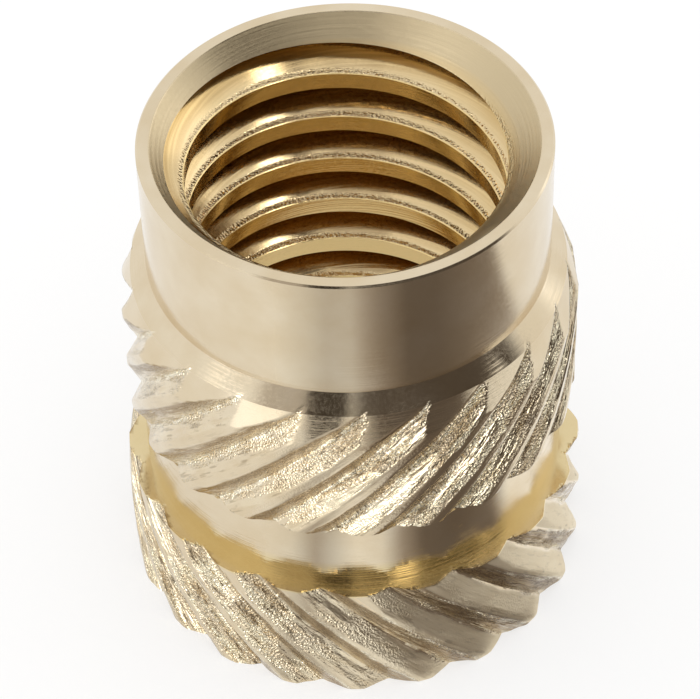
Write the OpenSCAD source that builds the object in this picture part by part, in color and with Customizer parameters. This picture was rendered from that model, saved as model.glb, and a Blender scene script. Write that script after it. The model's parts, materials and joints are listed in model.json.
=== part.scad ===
// Threaded brass insert: a turned body with a plain pilot, two helical knurl bands
// that lean opposite ways, a smooth neck between them and a hole right through.
// It stands on its wide end, with the axis of the hole along +Z. Sizes are in millimetres.
// The hole is cut to the crests of the thread, the size that a tap leaves between them.

/* [Overall] */
// Height from the flat base to the rim of the pilot
height = 12; // [10:0.1:16]

/* [Thread] */
// Major diameter of the internal thread
thread_d = 8; // [6:0.5:12]
// Pitch of the internal thread
thread_pitch = 1.25; // [0.75:0.25:1.5]
// Flat rim left outside the countersink at each end
rim_w = 0.28; // [0.1:0.02:0.34]
// Angle between the wall of a countersink and the axis
countersink_angle = 45; // [30:1:60]

/* [Pilot] */
// Wall of the pilot outside the major diameter
pilot_wall = 0.35; // [0.3:0.01:0.5]
// Length of the plain pilot
pilot_h = 3.05; // [1:0.05:4]
// Angle between the shoulder below the pilot and the axis
shoulder_angle = 45; // [30:1:60]

/* [Neck] */
// Wall of the neck outside the major diameter
neck_wall = 0.68; // [0.6:0.02:1.4]
// Length of the smooth neck between the knurl bands
neck_h = 1.75; // [0.5:0.05:3]

/* [Upper knurl] */
// Number of teeth round the upper band
upper_teeth = 22; // [16:1:30]
// Height of the upper crests above the neck
upper_rise = 0.3; // [0.2:0.01:0.4]
// Lean of the upper teeth away from the axis, positive for a right-hand helix
upper_helix = 45; // [20:1:50]
// Length over which the upper crests climb to their full height
upper_lead_in = 0.75; // [0.3:0.05:1]
// Length over which the upper crests drop to the neck
upper_lead_out = 0.12; // [0.05:0.01:0.4]
// Turn about the axis of a crest at the lower end of the upper band, from the front
upper_turn = 2; // [0:0.5:15]

/* [Lower knurl] */
// Number of teeth round the lower band
lower_teeth = 21; // [16:1:30]
// Height of the lower crests above the neck
lower_rise = 0.5; // [0.35:0.01:0.6]
// Lean of the lower teeth away from the axis, negative for a left-hand helix
lower_helix = -43; // [-50:1:-20]
// Length over which the lower crests climb to their full height
lower_lead_in = 0.8; // [0.2:0.05:1]
// Drop of the lower crests to the rim of the ledge below the neck
lower_fall = 0.08; // [0.02:0.01:0.2]
// Turn about the axis of a crest at the base, from the front
lower_turn = -0.5; // [-15:0.5:15]
// Length of the lower band from the base up to the neck
lower_h = 3.25; // [1.5:0.05:4]

/* [Tooth section] */
// Depth of the grooves between teeth
groove_depth = 0.28; // [0.15:0.01:0.3]
// Width of a crest, square to the tooth
crest_w = 0.22; // [0.15:0.01:0.4]
// Width of a groove's floor, square to the teeth
floor_w = 0.06; // [0.05:0.01:0.15]

/* [Hidden] */
$fn = 96;

// The hole stands this many pitches inside the major diameter, as drilled for tapping
crest_drop = 0.96;
bore_r = (thread_d - crest_drop * thread_pitch) / 2;
pilot_r = thread_d / 2 + pilot_wall;
neck_r = thread_d / 2 + neck_wall;
upper_r = neck_r + upper_rise;
lower_r = neck_r + lower_rise;
mouth_r = pilot_r - rim_w;
mouth_h = (mouth_r - bore_r) / tan(countersink_angle);

// Heights of the steps above the base
neck_top_z = lower_h + neck_h;
pilot_z = height - pilot_h;
// The shoulder is steep down to the floors of the grooves, then eases up to the crests
upper_floor_r = upper_r - groove_depth;
tooth_tip_z = pilot_z - (upper_floor_r - pilot_r) / tan(shoulder_angle);

// Cutting shapes run this far past the surface that they open through
overcut = 0.1;
// Flat steps that follow the twist of a groove along its length
groove_steps = 8;

// Half section of the turned blank, before knurling and drilling
module blank() {
    rotate_extrude()
        polygon([
            [0, 0],
            [lower_r, 0],
            [lower_r, lower_h - lower_lead_in],
            [lower_r - lower_fall, lower_h],
            [neck_r, lower_h],
            [neck_r, neck_top_z],
            [upper_r, neck_top_z + upper_lead_out],
            [upper_r, tooth_tip_z - upper_lead_in],
            [upper_floor_r, tooth_tip_z],
            [pilot_r, pilot_z],
            [pilot_r, height],
            [0, height]
        ]);
}

// Grooves of one band, from z0 up to z1, with a crest turned by "turn" from the front at z0
module grooves(teeth, crest_r, helix, turn, z0, z1) {
    // Widths across the end of the body, where a leaning tooth measures wider
    pitch = 2 * PI * crest_r / teeth;
    top_half = (pitch - crest_w / cos(helix)) / 2;
    floor_half = floor_w / cos(helix) / 2;
    flank_run = (top_half - floor_half) / groove_depth;
    outer_r = crest_r + overcut;
    outer_half = top_half + flank_run * overcut;
    lead = 2 * PI * crest_r / tan(helix);
    translate([0, 0, z0])
        rotate(turn - 90)
            linear_extrude(height = z1 - z0, twist = -360 * (z1 - z0) / lead,
                           slices = groove_steps, $fn = 0)
                for (i = [0 : teeth - 1])
                    rotate((i + 0.5) * 360 / teeth)
                        polygon([
                            [crest_r - groove_depth, -floor_half],
                            [outer_r, -outer_half],
                            [outer_r, outer_half],
                            [crest_r - groove_depth, floor_half]
                        ]);
}

// Drilled hole with a countersink at each end
module hole() {
    flare_r = mouth_r + overcut * tan(countersink_angle);
    rotate_extrude()
        polygon([
            [0, -overcut],
            [flare_r, -overcut],
            [bore_r, mouth_h],
            [bore_r, height - mouth_h],
            [flare_r, height + overcut],
            [0, height + overcut]
        ]);
}

module threaded_insert() {
    color([0.86, 0.79, 0.62])
        difference() {
            blank();
            grooves(upper_teeth, upper_r, upper_helix, upper_turn, neck_top_z, pilot_z);
            grooves(lower_teeth, lower_r, lower_helix, lower_turn, -overcut, lower_h + overcut);
            hole();
        }
}

threaded_insert();
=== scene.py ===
"""Brass threaded insert: a turned body with two slanted knurl bands and an M8 thread.

The frame gives the overall sizes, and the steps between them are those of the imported
solid. This script adds the torn knurl teeth, the helical thread, the brass itself and
the studio. Shapes are worked out in millimetres and turned into metres when a mesh is
made. Angles round the axis are in degrees, from the front of the insert (-Y) towards +X.
"""
import json
import math
from types import SimpleNamespace

import bmesh
import bpy
import numpy as np
from mathutils import Matrix, Vector


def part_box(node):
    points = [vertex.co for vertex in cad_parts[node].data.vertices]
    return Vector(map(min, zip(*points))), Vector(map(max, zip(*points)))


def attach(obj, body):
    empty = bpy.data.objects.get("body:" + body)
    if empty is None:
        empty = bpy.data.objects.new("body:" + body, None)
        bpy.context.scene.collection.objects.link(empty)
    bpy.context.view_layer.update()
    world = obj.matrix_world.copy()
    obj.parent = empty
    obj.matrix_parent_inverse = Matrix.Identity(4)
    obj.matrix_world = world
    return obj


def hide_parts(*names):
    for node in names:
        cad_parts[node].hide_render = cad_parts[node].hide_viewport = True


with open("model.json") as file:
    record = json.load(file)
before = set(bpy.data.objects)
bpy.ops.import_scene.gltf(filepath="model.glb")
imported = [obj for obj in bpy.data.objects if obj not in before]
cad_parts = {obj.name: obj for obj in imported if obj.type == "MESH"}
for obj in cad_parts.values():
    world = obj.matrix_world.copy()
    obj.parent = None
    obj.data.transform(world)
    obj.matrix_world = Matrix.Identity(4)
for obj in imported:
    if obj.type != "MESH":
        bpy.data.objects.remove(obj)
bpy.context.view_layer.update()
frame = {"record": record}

MM = 0.001

# ---------------------------------------------------------------- sizes
NODE = "threaded_insert"
mounts = {m["name"]: m["dims"] for m in frame["record"]["mounts"]}

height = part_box(NODE)[1].z / MM
lower_r = mounts["knurl_grip"]["r_mm"]
pilot_r = mounts["pilot"]["r_mm"]
pilot_h = mounts["pilot"]["length_mm"]
bore_r = mounts["thread"]["r_mm"]
bore_h = mounts["thread"]["length_mm"]

# Thread: M8 x 1.25, with its crests at the wall of the bore
thread_r = 4.0
thread_pitch = 1.25
thread_flank = 30
# Width of the root, and the bevel between the root and each flank
root_w = 0.13
root_bevel_r = 0.03
root_bevel_w = 0.02
# Height of the first crest at the back
thread_start = 0.5705
# The thread's cutter reaches this far inside the bore, and has this many turns outside the body
cutter_reach = 0.2
spare_turns = 2.4

# Steps of the turned body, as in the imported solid
neck_r = 4.68
upper_r = 4.98
lower_h = 3.25
neck_top = 5.0
lower_lead_in = 0.8
lower_fall = 0.08
upper_lead_in = 0.75
upper_lead_out = 0.12
groove_depth = 0.28
pilot_z = height - pilot_h
upper_floor_r = upper_r - groove_depth
tooth_tip_z = pilot_z - (upper_floor_r - pilot_r)
mouth_h = (height - bore_h) / 2
mouth_r = bore_r + mouth_h

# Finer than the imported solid: bevels, the ledge's slope and the bulge of the upper lead-out
base_bevel = 0.05
rim_bevel = 0.04
ledge_tilt = 0.004
lead_out_drop = 0.08
# Torn metal rises and falls by this much, and the crests lie lower to make room for it
upper_fold_h = 0.022
lower_fold_h = 0.026
grain_h = 0.010
crest_drop = 0.015

# Teeth: the bands lean opposite ways. A groove turns by its slope, in degrees for each mm
# up, and passes through the angle given at the lower end of its band.
UPPER_TEETH, LOWER_TEETH = 22, 21
upper_slope, lower_slope = 11.5, -10.3
upper_groove, lower_groove = -22.55, 7.05
# Where the crest starts and ends, as shares of the way from one groove to the next
UPPER_CREST = (0.38, 0.57)
LOWER_CREST = (0.455, 0.59)
# The edges of the grooves waver by this share of a tooth
EDGE_WAVE = 0.02

# Mesh columns: a whole number of them spans a tooth of either band
COLUMNS = UPPER_TEETH * LOWER_TEETH
COLUMN_STEP = 360 / COLUMNS
# The rings of the bore have one point for every third column
BORE_STEP = 3
BORE_COUNT = COLUMNS // BORE_STEP


# ---------------------------------------------------------------- helpers
def smooth(x):
    """Ease from 0 to 1."""
    x = np.clip(x, 0, 1)
    return x * x * (3 - 2 * x)


def ridge(x, middle, width):
    """1 at the middle, and falling away over the width."""
    return np.exp(-((x - middle) / width) ** 2)


def along(x, stops):
    """Value at x on the straight lines between stops, each a place and its value."""
    return np.interp(x, *zip(*stops))


def place(angle, radius, z):
    """Points in mm from angles in degrees, radii and heights."""
    a = np.radians(angle)
    return np.stack([radius * np.sin(a), -radius * np.cos(a), z], axis=-1)


def value_noise(turns, height_mm, cells, per_mm, seed):
    """Smooth noise from -1 to 1, with a number of cells round the body and some per mm along it."""
    rows = int(height * per_mm) + 4
    grid = np.random.RandomState(seed).uniform(-1, 1, (rows, cells))
    x = (turns % 1.0) * cells
    y = (height_mm + 1.0) * per_mm
    x0, y0 = np.floor(x).astype(int), np.floor(y).astype(int)
    fx, fy = smooth(x - x0), smooth(y - y0)
    y0 = np.clip(y0, 0, rows - 2)
    left, right = x0 % cells, (x0 + 1) % cells
    low = grid[y0, left] * (1 - fx) + grid[y0, right] * fx
    high = grid[y0 + 1, left] * (1 - fx) + grid[y0 + 1, right] * fx
    return low * (1 - fy) + high * fy


def add_values(mesh, name, values):
    """Stores a number or a vector for each point of a mesh."""
    if values.ndim == 1:
        mesh.attributes.new(name, "FLOAT", "POINT").data.foreach_set("value", values)
    else:
        mesh.attributes.new(name, "FLOAT_VECTOR", "POINT").data.foreach_set("vector", values.ravel())


def add_object(name, mesh):
    """An object at the origin that shows a mesh."""
    made = bpy.data.objects.new(name, mesh)
    bpy.context.scene.collection.objects.link(made)
    return made


# ---------------------------------------------------------------- outer shell
def blank_radius(z):
    """Radius of the turned body at each height, before its grooves."""
    return along(z, [
        (0.0, lower_r - base_bevel),
        (base_bevel, lower_r),
        (lower_h - lower_lead_in, lower_r),
        (lower_h - ledge_tilt, lower_r - lower_fall),
        (lower_h, neck_r),
        (neck_top, neck_r),
        (neck_top + upper_lead_out / 2, upper_r - lead_out_drop),
        (neck_top + upper_lead_out, upper_r),
        (tooth_tip_z - upper_lead_in, upper_r),
        (tooth_tip_z, upper_floor_r),
        (pilot_z, pilot_r),
        (height - rim_bevel, pilot_r),
        (height, pilot_r - rim_bevel),
    ])


def shell_rows():
    """Heights of the mesh rows, close together where the teeth are."""
    return np.unique(np.concatenate([
        [0.0, 0.02],
        np.linspace(base_bevel, lower_h - ledge_tilt, 56),
        np.linspace(lower_h - ledge_tilt, lower_h, 5),
        np.linspace(lower_h, neck_top, 12),
        np.linspace(neck_top, neck_top + upper_lead_out, 5),
        np.linspace(neck_top + upper_lead_out, tooth_tip_z, 60),
        np.linspace(tooth_tip_z, pilot_z, 6),
        [pilot_z + 0.3, pilot_z + 1.0, height - 0.6, height - rim_bevel, height - 0.015, height],
    ]).round(5))


def column_angles(z, column):
    """Angle of each point, and how many columns the lower teeth are shifted by.

    Columns follow the lower teeth, bend over across the neck and follow the upper teeth.
    """
    upper_angle = upper_groove + upper_slope * (np.minimum(z, pilot_z) - neck_top) + COLUMN_STEP * column
    lower_angle = lower_groove + lower_slope * z + COLUMN_STEP * column
    middle = (lower_h + neck_top) / 2
    gap = (upper_groove + upper_slope * (middle - neck_top)) - (lower_groove + lower_slope * middle)
    shift = round(gap / COLUMN_STEP)
    lower_angle = lower_angle + shift * COLUMN_STEP
    to_upper = smooth((z - lower_h) / (neck_top - lower_h))
    return lower_angle * (1 - to_upper) + upper_angle * to_upper, shift


def tooth_depth(t, crest):
    """Depth below the crest as a share, with t running from 0 to 1 between two grooves."""
    climb = np.clip(1 - t / crest[0], 0, 1)
    drop = np.clip((t - crest[1]) / (1 - crest[1]), 0, 1)
    return climb + drop


def band(column, shift, teeth, crest, z, seeds):
    """Share of the way across a tooth, depth and noise fields of one band."""
    turns = (column + shift) / COLUMNS + 0 * z
    height_mm = z + 0 * column
    edge = value_noise(turns, height_mm, teeth * 5, 3.0, seeds[0])
    t = (turns * teeth + EDGE_WAVE * edge) % 1.0
    depth = tooth_depth(t, crest)
    fold = value_noise(turns, height_mm, teeth * 8, 1.5, seeds[1])
    grain = value_noise(turns, height_mm, teeth * 11, 9.0, seeds[2])
    return t, depth, fold, grain


def torn_shares(upper_t, upper_depth, lower_t, lower_depth, to_right):
    """How torn the walls of each band are, from 0 to 1, and its smoother crests."""
    near_crest = 0.03
    # Upper walls that face up are torn more, most of all on the right
    upper = np.where(upper_t < UPPER_CREST[0], 0.45 + 0.55 * to_right, 0.4)
    upper = np.where(upper_depth < near_crest, 0.12, upper)
    # Lower walls that face up are torn on the left, and those that face down on the right
    lower = np.where(lower_t > LOWER_CREST[1], 1 - 0.85 * to_right, 0.25 + 0.6 * to_right)
    lower = np.where(lower_depth < near_crest, 0.35, lower)
    return upper, lower


def finish_and_light_masks(z, upper_t, lower_t, on_upper, on_lower, to_right):
    """Shares of painted shade below the crests, of the burrs and their painted highlights, and of the rough
    right-hand walls with their painted highlight, at each point.
    """
    # Burrs run along the upper valleys and along the lower crests, with a painted highlight along them
    upper_burr_highlight = np.minimum(ridge(upper_t, 0.03, 0.04) + ridge(upper_t, 1.0, 0.05), 1)
    lower_burr_highlight = ridge(lower_t, LOWER_CREST[0] - 0.02, 0.035)
    # The walls that face down get painted shade below the crests
    upper_crest_shade = smooth((upper_t - UPPER_CREST[1]) / 0.03) * smooth((0.92 - upper_t) / 0.2)
    lower_crest_shade = smooth((LOWER_CREST[0] - lower_t) / 0.03) * smooth((lower_t - 0.03) / 0.15)
    # The lower crests and the walls that face up are rougher on the right, up to just below the ledge, and
    # the same share paints them paler there as a painted highlight on that side
    plain = smooth((lower_t - LOWER_CREST[0]) / 0.04) * smooth((0.97 - lower_t) / 0.04) * to_right
    return {
        "tarnish": np.where(on_upper, upper_crest_shade, 0) + np.where(on_lower, lower_crest_shade, 0),
        "burr": np.where(on_upper, upper_burr_highlight, 0) + np.where(on_lower, lower_burr_highlight, 0),
        "matte": np.where(z < lower_h - 0.03, plain, 0),
    }


def shell():
    """Grid of angles, radii, heights and masks for the outside of the body, and its points made upright."""
    z = shell_rows()[:, None]
    column = np.arange(COLUMNS)[None, :]
    angle, shift = column_angles(z, column)
    upper_t, upper_depth, upper_fold, upper_grain = band(
        column, 0, UPPER_TEETH, UPPER_CREST, z, (31, 11, 21))
    lower_t, lower_depth, lower_fold, lower_grain = band(
        column, shift, LOWER_TEETH, LOWER_CREST, z, (32, 12, 22))
    to_right = smooth(0.5 + 0.9 * np.sin(np.radians(angle)))
    upper_torn, lower_torn = torn_shares(upper_t, upper_depth, lower_t, lower_depth, to_right)

    upper = upper_r - crest_drop - groove_depth * upper_depth
    upper = upper + upper_torn * (upper_fold_h * upper_fold + grain_h * upper_grain)
    lower = lower_r - crest_drop - groove_depth * lower_depth
    lower = lower + lower_torn * (lower_fold_h * lower_fold + grain_h * lower_grain)

    blank = blank_radius(z) + 0 * column
    toothed_upper = np.minimum(blank, np.where(z < pilot_z, upper, blank))
    toothed_lower = np.minimum(blank, lower)
    radius = np.where(z >= neck_top, toothed_upper, np.where(z <= lower_h, toothed_lower, blank))

    on_upper = (z >= neck_top) & (upper < blank + 0.01)
    on_lower = (z <= lower_h) & (lower < blank + 0.01)
    masks = {"torn": np.where(on_upper, upper_torn, 0) + np.where(on_lower, lower_torn, 0)}
    masks.update(finish_and_light_masks(z, upper_t, lower_t, on_upper, on_lower, to_right))
    # Points as they would lie with the teeth made upright, for grain that runs along them
    upright = place(np.broadcast_to(COLUMN_STEP * column, angle.shape), radius, z + 0 * column)
    return angle, radius, z + 0 * column, masks, upright


# ---------------------------------------------------------------- body
def ring_faces(lower_start, upper_start, count, shift=0):
    """Quads between two rings of the same size, with the upper one taken from a shifted point."""
    i = np.arange(count)
    j = (i + 1) % count
    corners = [lower_start + i, lower_start + j,
               upper_start + (j + shift) % count, upper_start + (i + shift) % count]
    return np.stack(corners, 1).tolist()


def fan_faces(outer_start, inner_start, flip):
    """Faces between a ring of the outside and one of the bore, which has fewer points."""
    faces = []
    half = BORE_STEP // 2
    for k in range(BORE_COUNT):
        here, there = inner_start + k, inner_start + (k + 1) % BORE_COUNT
        outer = [outer_start + (k * BORE_STEP + m) % COLUMNS for m in range(BORE_STEP + 1)]
        faces += [(outer[m], outer[m + 1], here) for m in range(half)]
        faces.append((outer[half], there, here))
        faces += [(outer[m], outer[m + 1], there) for m in range(half, BORE_STEP)]
    return [f[::-1] for f in faces] if flip else faces


def body_mesh():
    """Closed mesh of the toothed body with a plain bore and two countersinks."""
    angle, radius, z, masks, upright = shell()
    rows = len(angle)
    points = place(angle, radius, z).reshape(-1, 3)
    faces = []
    for row in range(rows - 1):
        faces += ring_faces(row * COLUMNS, (row + 1) * COLUMNS, COLUMNS)

    top_angle = angle[-1, ::BORE_STEP]
    bottom_angle = angle[0, ::BORE_STEP]
    starts = []
    for ring_angle, ring_r, ring_z in (
            (top_angle, mouth_r, height),
            (top_angle, bore_r, height - mouth_h),
            (bottom_angle, bore_r, mouth_h),
            (bottom_angle, mouth_r, 0.0)):
        starts.append(len(points))
        ring = place(ring_angle, np.full(BORE_COUNT, ring_r), np.full(BORE_COUNT, ring_z))
        points = np.concatenate([points, ring])
    # The bore's lower rings are turned back to line up with its upper ones
    turn = round((bottom_angle[0] - top_angle[0]) / (360 / BORE_COUNT))
    faces += fan_faces((rows - 1) * COLUMNS, starts[0], False)
    for k, shift in enumerate((0, -turn, 0)):
        faces += ring_faces(starts[k], starts[k + 1], BORE_COUNT, shift)
    faces += fan_faces(0, starts[3], True)

    mesh = bpy.data.meshes.new("insert_body")
    mesh.from_pydata((points * MM).tolist(), [], faces)
    rest = len(points) - rows * COLUMNS
    for name, mask in masks.items():
        add_values(mesh, name, np.concatenate([mask.ravel(), np.zeros(rest)]))
    add_values(mesh, "upright", np.concatenate([upright.reshape(-1, 3) * MM, np.zeros((rest, 3))]))
    mesh.update()
    return mesh


# ---------------------------------------------------------------- thread
def thread_cutter():
    """Closed helical solid that cuts the thread's groove."""
    inner_r = bore_r - cutter_reach
    flank = math.tan(math.radians(thread_flank))
    root_half = root_w / 2
    inner_half = root_half + root_bevel_w + (thread_r - inner_r) * flank
    section = [
        (inner_r, -inner_half),
        (thread_r - root_bevel_r, -root_half - root_bevel_w),
        (thread_r, -root_half),
        (thread_r, root_half),
        (thread_r - root_bevel_r, root_half + root_bevel_w),
        (inner_r, inner_half),
    ]
    # It runs on past both ends of the body
    turns = (height + spare_turns * thread_pitch) / thread_pitch
    count = int(turns * BORE_COUNT)
    points = []
    for k in range(count + 1):
        angle = 360 * k / BORE_COUNT
        z = thread_start + thread_pitch * (0.5 + (angle - 180) / 360 - 2)
        for r, dz in section:
            a = math.radians(angle)
            points.append((r * math.sin(a) * MM, -r * math.cos(a) * MM, (z + dz) * MM))
    size = len(section)
    faces = []
    for k in range(count):
        for m in range(size):
            n = (m + 1) % size
            faces.append((k * size + m, k * size + n, (k + 1) * size + n, (k + 1) * size + m))
    faces.append(tuple(range(size))[::-1])
    faces.append(tuple(range(count * size, (count + 1) * size)))
    mesh = bpy.data.meshes.new("thread_cutter")
    mesh.from_pydata(points, [], faces)
    mesh.update()
    return mesh


def fix_normals(mesh):
    """Points the faces of a closed mesh outwards."""
    bm = bmesh.new()
    bm.from_mesh(mesh)
    bmesh.ops.recalc_face_normals(bm, faces=bm.faces)
    bm.to_mesh(mesh)
    bm.free()


def cut_thread(body):
    """Takes the thread's groove out of the body."""
    cutter = add_object("cutter", thread_cutter())
    fix_normals(cutter.data)
    cut = body.modifiers.new("thread", "BOOLEAN")
    cut.operation = "DIFFERENCE"
    cut.solver = "MANIFOLD"
    cut.object = cutter
    graph = bpy.context.evaluated_depsgraph_get()
    result = bpy.data.meshes.new_from_object(body.evaluated_get(graph))
    body.modifiers.clear()
    body.data = result
    result.name = "insert_body"
    bpy.data.objects.remove(cutter)


def smooth_faces(mesh):
    """Smooth shading that keeps the crisp edges, among them the foot of the shoulder."""
    crisp_angle = 38
    mesh.shade_smooth()
    mesh.set_sharp_from_angle(angle=math.radians(crisp_angle))
    points = np.empty(len(mesh.vertices) * 3)
    mesh.vertices.foreach_get("co", points)
    ends = np.empty(len(mesh.edges) * 2, dtype=int)
    mesh.edges.foreach_get("vertices", ends)
    at_foot = np.abs(points[2::3] - tooth_tip_z * MM) < 1e-6
    sharp = np.empty(len(mesh.edges), dtype=bool)
    mesh.edges.foreach_get("use_edge_sharp", sharp)
    mesh.edges.foreach_set("use_edge_sharp", sharp | at_foot[ends].reshape(-1, 2).all(axis=1))


def make_insert():
    """The insert as one closed mesh, with its thread cut."""
    body = add_object("insert", body_mesh())
    fix_normals(body.data)
    cut_thread(body)
    smooth_faces(body.data)
    # The cut leaves an empty slot
    body.data.materials.clear()
    body.data.materials.append(brass())
    return body


# ---------------------------------------------------------------- material nodes
class Graph:
    """Short ways to add nodes to a material. A value is a number, a colour or a socket."""

    def __init__(self, material, keep_shader=False):
        material.use_nodes = True
        self.nodes = material.node_tree.nodes
        self.links = material.node_tree.links
        if not keep_shader:
            self.nodes.clear()

    def fill(self, socket, value):
        """Links a socket to another one, or sets it."""
        if isinstance(value, bpy.types.NodeSocket):
            self.links.new(value, socket)
        else:
            socket.default_value = value

    def node(self, kind, **values):
        """A node with its settings made and its sockets filled."""
        made = self.nodes.new(kind)
        for key, value in values.items():
            if key in made.inputs:
                self.fill(made.inputs[key], value)
            else:
                setattr(made, key, value)
        return made

    def mask(self, name, output="Fac"):
        """A value that the mesh stores for each point."""
        return self.node("ShaderNodeAttribute", attribute_name=name).outputs[output]

    def calculate(self, operation, first, second):
        """A sum, product or other result of two values."""
        made = self.node("ShaderNodeMath", operation=operation)
        self.fill(made.inputs[0], first)
        self.fill(made.inputs[1], second)
        return made.outputs[0]

    def product(self, first, *others):
        for other in others:
            first = self.calculate("MULTIPLY", first, other)
        return first

    def total(self, first, *others):
        for other in others:
            first = self.calculate("ADD", first, other)
        return first

    def span(self, source, low, high):
        """0 at the low value and 1 at the high one."""
        limits = {"From Min": low, "From Max": high}
        return self.node("ShaderNodeMapRange", Value=source, **limits).outputs["Result"]

    def noise(self, points, scale, detail, squeeze=(1, 1, 1)):
        """Noise with this many cells to the metre, times a factor for each axis."""
        if squeeze != (1, 1, 1):
            points = self.node("ShaderNodeMapping", Vector=points, Scale=squeeze).outputs["Vector"]
        return self.node("ShaderNodeTexNoise", Vector=points, Scale=scale, Detail=detail).outputs["Fac"]

    def ramp(self, source, low, high, first, last):
        """From the first grey or colour at the low value to the last one at the high value."""
        made = self.node("ShaderNodeValToRGB", Fac=source)
        for stop, position, shade in zip(made.color_ramp.elements, (low, high), (first, last)):
            stop.position = position
            stop.color = shade if isinstance(shade, tuple) else (shade, shade, shade, 1)
        return made.outputs["Color"]

    def mix(self, share, under, over):
        """One colour over another."""
        return self.node("ShaderNodeMix", data_type="RGBA", Factor=share, A=under, B=over).outputs["Result"]

    def bump(self, distance, strength, source, **under):
        """Bumps of a height in metres, on top of those under them."""
        made = self.node("ShaderNodeBump", Distance=distance, Strength=strength, Height=source, **under)
        return made.outputs["Normal"]


# ---------------------------------------------------------------- brass
# Colours of the metal, and of the light and shade painted on it
CLEAN = (0.745, 0.64, 0.47, 1)
BLOTCH = (0.69, 0.57, 0.39, 1)
# Painted reflection: warm gold for the angle between the ledge and the neck
LEDGE_GLOW_GOLD = (0.75, 0.60, 0.28, 1)
FRESH = (0.88, 0.79, 0.58, 1)
# Painted highlight: paler right-hand walls of the lower teeth
RIGHT_WALL_SHEEN = (0.88, 0.79, 0.60, 1)
STAIN = (0.46, 0.32, 0.15, 1)
FLECK = (0.15, 0.10, 0.05, 1)
# Painted shade on the walls that face down
CREST_SHADE_BROWN = (0.30, 0.20, 0.09, 1)
# Painted highlight along the burrs
BURR_HIGHLIGHT = (0.95, 0.88, 0.70, 1)
DULL = (0.60, 0.49, 0.31, 1)
# Painted reflection in the bore, and painted shade in its roots
THREAD_BOUNCE_GOLD = (0.79, 0.59, 0.27, 1)
ROOT_BOUNCE_AMBER = (0.78, 0.52, 0.18, 1)
ROOT_SHADE_BROWN = (0.33, 0.20, 0.07, 1)


def metal_zones(g):
    """Shares of each zone of the insert: those stored in the mesh, and those that follow from place."""
    zone = SimpleNamespace(
        torn=g.mask("torn"), tarnish=g.mask("tarnish"), burr=g.mask("burr"), matte=g.mask("matte"),
        upright=g.mask("upright", "Vector"), points=g.node("ShaderNodeTexCoord").outputs["Object"])
    axes = g.node("ShaderNodeSeparateXYZ", Vector=zone.points)
    flat = g.node("ShaderNodeCombineXYZ", X=axes.outputs["X"], Y=axes.outputs["Y"])
    out = g.node("ShaderNodeVectorMath", operation="LENGTH", Vector=flat.outputs[0]).outputs["Value"]

    def by_height(low, high):
        return g.span(axes.outputs["Z"], low * MM, high * MM)

    def by_radius(low, high):
        return g.span(out, low * MM, high * MM)

    # Each zone fades in or out between a low and a high value
    # Painted reflection: the angle between the ledge and the neck, which gets warm gold as if lit by bounced
    # light
    zone.corner = g.product(by_height(lower_h - 0.06, lower_h - 0.02),
                            by_height(lower_h + 0.62, lower_h + 0.35))
    zone.on_neck = g.product(by_height(lower_h, lower_h + 0.1), by_height(neck_top + 0.1, neck_top))
    cone_foot = height - mouth_h
    zone.on_cone = g.product(by_radius(mouth_r + 0.02, mouth_r - 0.02),
                             by_height(cone_foot - 0.02, cone_foot + 0.02))
    zone.inside = g.product(by_radius(thread_r + 0.03, thread_r + 0.02),
                            by_height(height - mouth_h * 0.6, cone_foot))
    zone.on_land = g.product(zone.inside, by_radius(bore_r + 0.04, bore_r + 0.01))
    zone.in_root = g.product(zone.inside, by_radius(bore_r + 0.03, thread_r - 0.1))
    # The thread is ragged beside its crests
    beside = g.product(by_radius(bore_r + 0.01, bore_r + 0.04), by_radius(bore_r + 0.14, bore_r + 0.07))
    zone.ragged = g.product(zone.inside, beside)
    # Fine rings round the axis, as turning leaves them
    zone.rings = g.noise(zone.points, 1.0, 3, (300, 300, 22000))
    return zone


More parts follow.
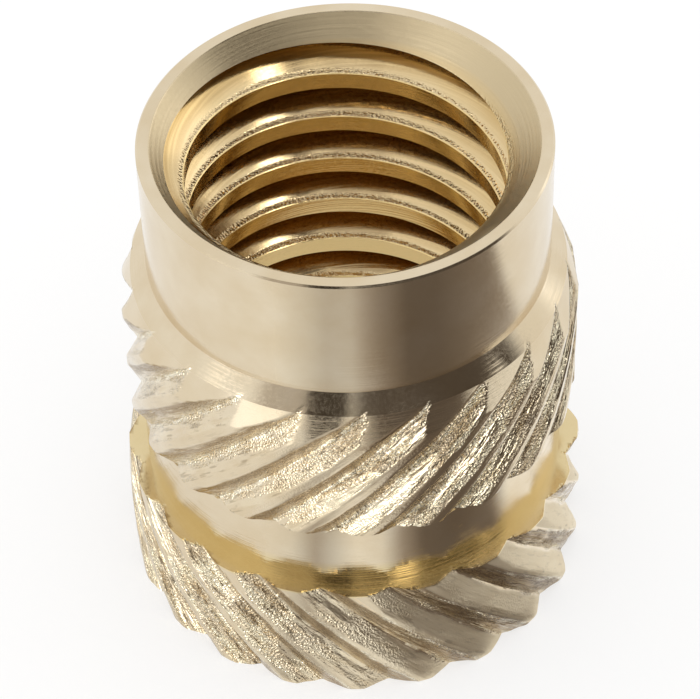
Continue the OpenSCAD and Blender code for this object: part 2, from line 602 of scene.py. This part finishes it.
def metal_colour(g, zone):
    """Clean brass, a little browner in blotches, with one coat over another; several coats are painted light
    and shade.
    """
    fresh = g.ramp(g.noise(zone.upright, 3200, 4, (1, 1, 0.45)), 0.47, 0.54, 0, 1)
    stain = g.ramp(g.noise(zone.upright, 5000, 4, (1, 1, 0.3)), 0.5, 0.64, 0, 1)
    fleck = g.noise(zone.upright, 9000, 5, (1, 1, 0.35))
    dark = g.ramp(fleck, 0.57, 0.66, 0, 1)
    broken = g.ramp(fleck, 0.3, 0.5, 0.3, 0.85)
    # Breaks the painted highlight along the burrs into specks
    highlight_specks = g.ramp(g.noise(zone.upright, 7000, 4, (1, 1, 0.5)), 0.47, 0.56, 0, 1)
    in_rings = g.ramp(zone.rings, 0.42, 0.66, 1, 0)
    coats = [
        # Painted reflection: warmer gold in the angle between the ledge and the neck, as if lit by light
        # bounced between them
        (g.product(zone.corner, 0.5), LEDGE_GLOW_GOLD),
        # Paler where the torn metal is fresh, and a painted highlight on the rough walls at the right
        (g.product(fresh, g.product(g.product(zone.torn, zone.torn), 0.9)), FRESH),
        (g.product(zone.matte, 0.6), RIGHT_WALL_SHEEN),
        # Brown stains where the metal is torn, and nearly black flecks
        (g.product(stain, g.product(zone.torn, 0.5)), STAIN),
        (g.product(dark, g.product(zone.torn, 0.8)), FLECK),
        # Painted shade below the crests, and painted highlights along the burrs
        (g.product(zone.tarnish, broken), CREST_SHADE_BROWN),
        (g.product(zone.burr, highlight_specks), BURR_HIGHLIGHT),
        # Duller on the countersink
        (zone.on_cone, DULL),
        # Painted reflection: the thread is yellower, most of all on its crests, and its roots amber, as if
        # lit by light bounced round the bore; its roots darken in brown rings that follow the turning lines,
        # partly the real lines and partly painted shade
        (g.total(g.product(zone.inside, 0.45), g.product(zone.on_land, 0.5)), THREAD_BOUNCE_GOLD),
        (g.product(zone.in_root, 0.7), ROOT_BOUNCE_AMBER),
        (g.product(zone.in_root, in_rings, 0.6), ROOT_SHADE_BROWN),
    ]
    colour = g.ramp(g.noise(zone.points, 900, 5), 0.35, 0.7, BLOTCH, CLEAN)
    for share, coat in coats:
        colour = g.mix(share, colour, coat)
    return colour


def metal_roughness(g, zone):
    """Even on the turned faces, and more on the countersink and the rough walls at the right."""
    gloss = g.ramp(g.noise(zone.points, 15000, 4), 0.3, 0.7, 0.10, 0.19)
    return g.total(gloss, g.total(g.product(zone.on_cone, 0.2), g.product(zone.matte, 0.45)))


def metal_normal(g, zone):
    """Lines left by turning, deeper on the neck, then folds and torn grain on the teeth."""
    depth = g.total(g.product(zone.on_neck, 0.2), g.product(zone.on_cone, 0.15), 0.10)
    turned = g.bump(0.00002, depth, zone.rings)
    fold_noise = g.noise(zone.upright, 6500, 3, (1, 1, 0.2))
    folds = g.bump(0.00009, zone.torn, fold_noise, Normal=turned)
    patches = g.ramp(g.noise(zone.upright, 2200, 3, (1, 1, 0.4)), 0.44, 0.56, 0.12, 1)
    strength = g.product(zone.torn, g.total(patches, zone.burr))
    strength = g.total(strength, g.product(zone.ragged, 0.4))
    cells = g.node("ShaderNodeTexVoronoi", Vector=zone.points, Scale=19000)
    grain = g.total(cells.outputs["Distance"], g.noise(zone.points, 14000, 4))
    return g.bump(0.00006, strength, grain, Normal=folds)


def brass():
    """Pale brass: turned and shiny where it is smooth and torn on the teeth, with painted shade, highlights
    and reflections on the teeth and in the bore.
    """
    material = bpy.data.materials.new("brass")
    g = Graph(material, keep_shader=True)
    zone = metal_zones(g)
    shader = g.nodes["Principled BSDF"]
    shader.inputs["Metallic"].default_value = 1.0
    g.fill(shader.inputs["Base Color"], metal_colour(g, zone))
    g.fill(shader.inputs["Roughness"], metal_roughness(g, zone))
    g.fill(shader.inputs["Normal"], metal_normal(g, zone))
    return material


# ---------------------------------------------------------------- camera and floor
CAMERA_DISTANCE = 63.28
CAMERA_ELEVATION = 42.558
# Degrees that the camera is turned by, after it looks at the middle of the rim
CAMERA_PAN, CAMERA_TILT, CAMERA_ROLL = -0.022, 3.964, -1.723
SENSOR_W = 36
FOCAL_LENGTH = 156.857


def add_camera():
    """Camera in front of the insert, looking down at it."""
    turns = (CAMERA_ELEVATION, CAMERA_PAN, CAMERA_TILT, CAMERA_ROLL)
    elevation, pan, tilt, roll = (math.radians(a) for a in turns)
    target = Vector((0, 0, height * MM))
    forward = Vector((0, math.cos(elevation), -math.sin(elevation)))
    across = Vector((1, 0, 0))
    upward = across.cross(forward)
    look = (forward + math.tan(pan) * across - math.tan(tilt) * upward).normalized()
    level = look.cross(Vector((0, 0, 1))).normalized()
    raised = level.cross(look)
    right = math.cos(roll) * level + math.sin(roll) * raised
    up = math.cos(roll) * raised - math.sin(roll) * level
    data = bpy.data.cameras.new("camera")
    data.sensor_width = SENSOR_W
    data.lens = FOCAL_LENGTH
    data.clip_start = 0.005
    data.clip_end = 10
    camera = add_object("camera", data)
    turn = Matrix((right, up, -look)).transposed().to_4x4()
    camera.matrix_world = Matrix.Translation(target - CAMERA_DISTANCE * MM * forward) @ turn
    bpy.context.scene.camera = camera


def add_world():
    """Even white light from all round."""
    world = bpy.data.worlds.new("studio")
    bpy.context.scene.world = world
    world.use_nodes = True
    back = world.node_tree.nodes["Background"]
    back.inputs["Color"].default_value = (1, 1, 1, 1)
    back.inputs["Strength"].default_value = 1.0


def add_floor():
    """Pale floor that stays white to the camera but keeps a soft shadow."""
    half = 0.6
    mesh = bpy.data.meshes.new("floor")
    corners = [(-half, -half, 0), (half, -half, 0), (half, half, 0), (-half, half, 0)]
    mesh.from_pydata(corners, [], [(0, 1, 2, 3)])
    material = bpy.data.materials.new("floor")
    g = Graph(material)
    # 1 for rays that should see a plain white background
    path = g.node("ShaderNodeLightPath").outputs
    seen = g.calculate("MAXIMUM", path["Is Camera Ray"], path["Is Glossy Ray"])
    seen = g.calculate("MAXIMUM", seen, path["Is Transmission Ray"])
    matt = g.node("ShaderNodeBsdfDiffuse", Color=(0.4, 0.4, 0.4, 1))
    glow = g.node("ShaderNodeEmission", Color=(0.62, 0.62, 0.62, 1), Strength=seen)
    both = g.node("ShaderNodeAddShader")
    g.fill(both.inputs[0], matt.outputs[0])
    g.fill(both.inputs[1], glow.outputs[0])
    g.node("ShaderNodeOutputMaterial", Surface=both.outputs[0])
    mesh.materials.append(material)
    add_object("floor", mesh)


# ---------------------------------------------------------------- cards
# Dark cards are warm, as brass looks warmer in its dark reflections. Bright ones are white
DARK_TINT = (1.0, 0.83, 0.72, 1)
WHITE = (1, 1, 1, 1)
DARK_TONE, WHITE_TONE = 0.15, 0.7
CARD_COLUMNS, CARD_ROWS = 60, 40


def card_material(name):
    """Glow with the tone of each point, and clear where there is no cover."""
    material = bpy.data.materials.new(name)
    g = Graph(material)
    tone = g.mask("tone")
    tint = g.mix(g.span(tone, DARK_TONE, WHITE_TONE), DARK_TINT, WHITE)
    glow = g.node("ShaderNodeEmission", Color=tint, Strength=tone)
    clear = g.node("ShaderNodeBsdfTransparent")
    mix = g.node("ShaderNodeMixShader", Fac=g.mask("cover"))
    g.fill(mix.inputs[1], clear.outputs[0])
    g.fill(mix.inputs[2], glow.outputs[0])
    g.node("ShaderNodeOutputMaterial", Surface=mix.outputs[0])
    return material


def add_card(name, points, tones, covers):
    """Grid of points in mm that only shows in reflections, with a tone and a cover at each."""
    rows, columns = points.shape[:2]
    mesh = bpy.data.meshes.new(name)
    faces = [(r * columns + c, r * columns + c + 1, (r + 1) * columns + c + 1, (r + 1) * columns + c)
             for r in range(rows - 1) for c in range(columns - 1)]
    mesh.from_pydata((points.reshape(-1, 3) * MM).tolist(), [], faces)
    add_values(mesh, "tone", tones.ravel())
    add_values(mesh, "cover", covers.ravel())
    mesh.materials.append(card_material(name))
    card = add_object(name, mesh)
    card.visible_camera = False
    card.visible_shadow = False
    card.visible_diffuse = False
    card.visible_transmission = False


def floor_card(name, azimuths, reaches, soft_near, soft_sides, tone, lift):
    """Part of a ring just above the floor, with a soft near edge and soft sides."""
    azimuth, reach = np.meshgrid(np.linspace(*azimuths, CARD_COLUMNS), np.linspace(*reaches, CARD_ROWS))
    cover = smooth((reach - reaches[0]) / soft_near) * smooth((azimuth - azimuths[0]) / soft_sides[0])
    cover = cover * smooth((azimuths[1] - azimuth) / soft_sides[1])
    add_card(name, place(azimuth, reach, np.full_like(reach, lift)), np.full_like(reach, tone), cover)


def sky_card(name, azimuths, rises, soft_sides, soft_top, tone, reach):
    """Part of a sphere round the insert, between two azimuths and two elevations, with soft edges."""
    azimuth, rise = np.meshgrid(np.linspace(*azimuths, CARD_COLUMNS), np.linspace(*rises, CARD_ROWS))
    points = place(azimuth, reach * np.cos(np.radians(rise)), reach * np.sin(np.radians(rise)))
    cover = smooth((azimuth - azimuths[0]) / soft_sides[0]) * smooth((azimuths[1] - azimuth) / soft_sides[1])
    cover = cover * smooth((rises[1] - rise) / soft_top)
    if rises[0] > 0:
        cover = cover * smooth((rise - rises[0]) / soft_top)
    add_card(name, points, np.full_like(azimuth, tone), cover)


def add_near_card():
    """Floor round the insert: the pilot sees its outer part, the neck and the lower teeth its inner part."""
    azimuth, reach = np.meshgrid(np.linspace(-36, 150, 187), np.geomspace(lower_r + 0.1, 60, 60))
    points = place(azimuth, reach, np.full_like(reach, 0.05))
    outer = along(azimuth, [(-36, 1), (-20, 0.8), (-12, 0.64), (0, 0.66), (8, 0.42), (14, 0.3),
                            (27, 0.15), (42, 0.15), (57, 0.2), (70, 0.25), (80, 0.32), (96, 0.45),
                            (110, 0.5), (150, 0.9)])
    inner = along(azimuth, [(-36, 1), (-26, 0.92), (-16, 0.5), (-8, 0.75), (0, 1.05), (10, 0.95), (18, 0.4),
                            (26, 0.17), (40, 0.15)])
    tone = outer + (inner - outer) * (smooth((13 - reach) / 3) * smooth((40 - azimuth) / 10))
    # The lower walls see the bright part beside it on the right
    tone = tone + (1.1 - tone) * smooth((12.5 - reach) / 3) * smooth((azimuth - 57) / 12)
    # It ends along a straight line, out to the right and behind
    edge = 0.807 * points[..., 0] + 0.59 * points[..., 1]
    cover = smooth((10.4 - edge) / 0.7) * smooth((150 - azimuth) / 25)
    add_card("floor_card", points, tone, cover)


def add_cards():
    """Dark cards at the front right and by the camera, and bright ones that torn metal sparkles in."""
    # On the floor
    add_near_card()
    floor_card("far_card", (0, 92), (45, 149), 12, (12, 12), 0.09, 0.04)
    floor_card("left_floor", (-58, -26), (24, 139), 8, (10, 6), 1.5, 0.06)
    floor_card("front_floor", (-21, -3), (45, 147), 12, (3, 3), 0.05, 0.05)
    # Standing: dark at the front right, where the camera is and beside it
    sky_card("front_card", (-8, 90), (0, 58), (16, 10), 10, 0.09, 150)
    sky_card("low_card", (-8, 14), (0, 41), (6, 4), 4, 0.1, 149)
    sky_card("camera_card", (-25, -1), (0, 58), (2, 2), 2, 0.05, 148)
    sky_card("side_card", (-52, -23), (0, 60), (10, 2), 6, 0.55, 146)
    # High up: dark and grey, seen by the thread
    sky_card("thread_dark", (38, 73), (57, 72), (4, 2), 3, 0.12, 147)
    sky_card("thread_grey", (-35, 40), (60, 78), (8, 4), 4, 0.5, 145)
    # Standing: bright ones
    sky_card("left_light", (-74, 12), (5, 33), (10, 8), 5, 4.2, 140)
    sky_card("right_light", (105, 145), (8, 50), (8, 8), 8, 1.5, 138)
    sky_card("thread_light", (74, 94), (59, 68), (3, 3), 2, 5.0, 136)
    sky_card("ledge_light", (14, 28), (35.5, 46), (3, 3), 2, 3.0, 21)
    sky_card("edge_light", (59, 67), (38, 45), (2, 2), 2, 2.0, 20.5)


# ---------------------------------------------------------------- scene
add_camera()
add_world()
add_floor()
add_cards()

insert = make_insert()
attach(insert, "root")
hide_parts(NODE)

bpy.context.scene.view_settings.view_transform = "Standard"
